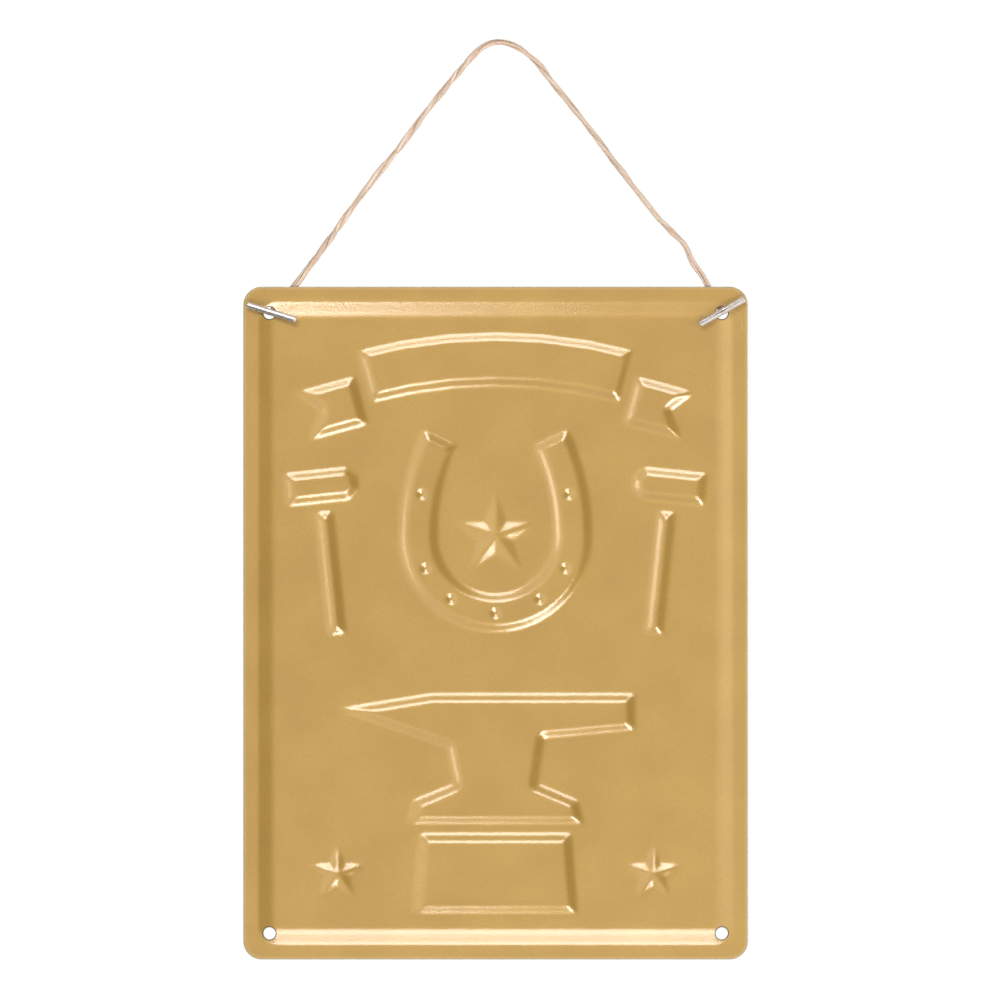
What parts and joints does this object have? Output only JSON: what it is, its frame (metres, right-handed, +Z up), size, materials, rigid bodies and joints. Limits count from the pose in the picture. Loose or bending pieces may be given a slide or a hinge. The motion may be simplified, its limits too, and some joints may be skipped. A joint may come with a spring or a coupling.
{
  "type": "hanging metal sign",
  "caption": "Rectangular pressed sheet-metal sign hung from a nail on a twine loop, whose ends pass through the upper corner holes and are held there by rolled metal toggles.",
  "frame": {"origin": "the twine's centre line at the top of its loop, where a nail carries the sign", "axes": "+X across the sign to the right as seen from its back, +Z up, and the sign's back, which the picture shows, faces -Y"},
  "size_m": [0.15, 0.0068, 0.2737],
  "materials": {
    "gold_lacquer": "satin gold lacquer on pressed steel sheet",
    "jute_twine": "two-ply jute twine with loose fibres",
    "nickel_plate": "nickel-plated rolled steel strip"
  },
  "bodies": {
    "hanger": {"hanging_cord": "jute_twine"},
    "sign": {"plate": "gold_lacquer"},
    "left_toggle": {"left_toggle": "nickel_plate", "left_cord_end": "jute_twine"},
    "right_toggle": {"right_toggle": "nickel_plate", "right_cord_end": "jute_twine"}
  },
  "joints": [
    {"name": "sign_swing", "type": "hinge", "parent": "hanger", "child": "sign", "pos_m": [0, 0, -0.0804], "axis": [1, 0, 0], "range_deg": [0, 180]},
    {"name": "left_toggle_turn", "type": "hinge", "parent": "sign", "child": "left_toggle", "pos_m": [-0.0672, 0, -0.0804], "axis": [0, -1, 0], "range_deg": [-120, 70]},
    {"name": "right_toggle_turn", "type": "hinge", "parent": "sign", "child": "right_toggle", "pos_m": [0.0672, 0, -0.0804], "axis": [0, -1, 0], "range_deg": [-80, 105]}
  ]
}
